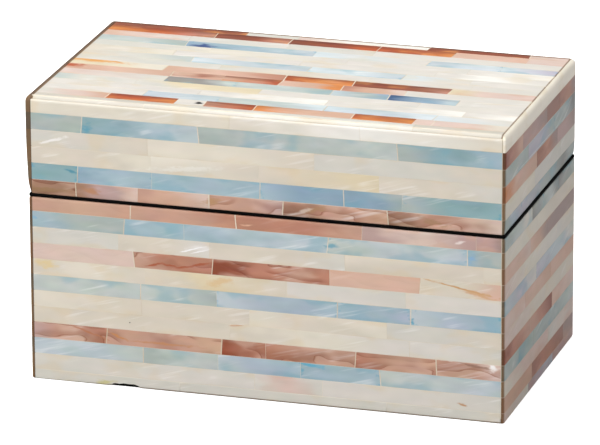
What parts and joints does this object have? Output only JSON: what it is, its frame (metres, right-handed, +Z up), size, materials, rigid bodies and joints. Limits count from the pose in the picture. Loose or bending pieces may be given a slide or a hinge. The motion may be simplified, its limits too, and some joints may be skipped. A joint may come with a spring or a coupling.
{
  "type": "shell box",
  "caption": "Rectangular keepsake box with a lift-off lid, faced with rows of glossy mother-of-pearl strips in cream, pale blue and rust.",
  "frame": {"origin": "middle of the underside, on the surface that the box stands on", "axes": "+X along the front from its left end to its right end, +Y from the front to the back, +Z up"},
  "size_m": [0.2534, 0.1404, 0.1524],
  "materials": {
    "cream_shell": "gloss",
    "blue_shell": "gloss",
    "rose_shell": "gloss",
    "rust_shell": "gloss",
    "mixed_shell": "gloss",
    "black_wood": "satin"
  },
  "bodies": {
    "root": {"base_carcase": "black_wood", "lid_carcase": "black_wood", "base_back_strips": "mixed_shell", "base_left_strips": "mixed_shell", "lid_back_strips": "mixed_shell", "lid_left_strips": "mixed_shell", "lid_top_row_01": "rust_shell", "lid_top_row_02": "rust_shell", "lid_top_row_03": "cream_shell", "lid_top_row_04": "blue_shell", "lid_top_row_05": "cream_shell", "lid_top_row_06": "cream_shell", "lid_top_row_07": "blue_shell", "lid_top_row_08": "cream_shell", "lid_top_row_09": "rust_shell", "lid_top_row_10": "rose_shell", "lid_top_row_11": "blue_shell", "lid_top_row_12": "cream_shell", "lid_top_row_13": "cream_shell", "lid_top_row_14": "blue_shell", "lid_top_row_15": "rust_shell", "lid_top_row_16": "cream_shell", "lid_front_row_01": "cream_shell", "lid_front_row_02": "blue_shell", "lid_front_row_03": "cream_shell", "lid_front_row_04": "cream_shell", "lid_front_row_05": "blue_shell", "lid_front_row_06": "rose_shell", "lid_right_row_01": "cream_shell", "lid_right_row_02": "rose_shell", "lid_right_row_03": "blue_shell", "lid_right_row_04": "rose_shell", "lid_right_row_05": "cream_shell", "lid_right_row_06": "blue_shell", "base_front_row_01": "rose_shell", "base_front_row_02": "blue_shell", "base_front_row_03": "cream_shell", "base_front_row_04": "rose_shell", "base_front_row_05": "cream_shell", "base_front_row_06": "blue_shell", "base_front_row_07": "cream_shell", "base_front_row_08": "cream_shell", "base_front_row_09": "rose_shell", "base_front_row_10": "blue_shell", "base_front_row_11": "cream_shell", "base_front_row_12": "cream_shell", "base_right_row_01": "cream_shell", "base_right_row_02": "cream_shell", "base_right_row_03": "rose_shell", "base_right_row_04": "cream_shell", "base_right_row_05": "blue_shell", "base_right_row_06": "rose_shell", "base_right_row_07": "cream_shell", "base_right_row_08": "rose_shell", "base_right_row_09": "blue_shell", "base_right_row_10": "cream_shell", "base_right_row_11": "rose_shell", "base_right_row_12": "cream_shell"}
  },
  "joints": []
}
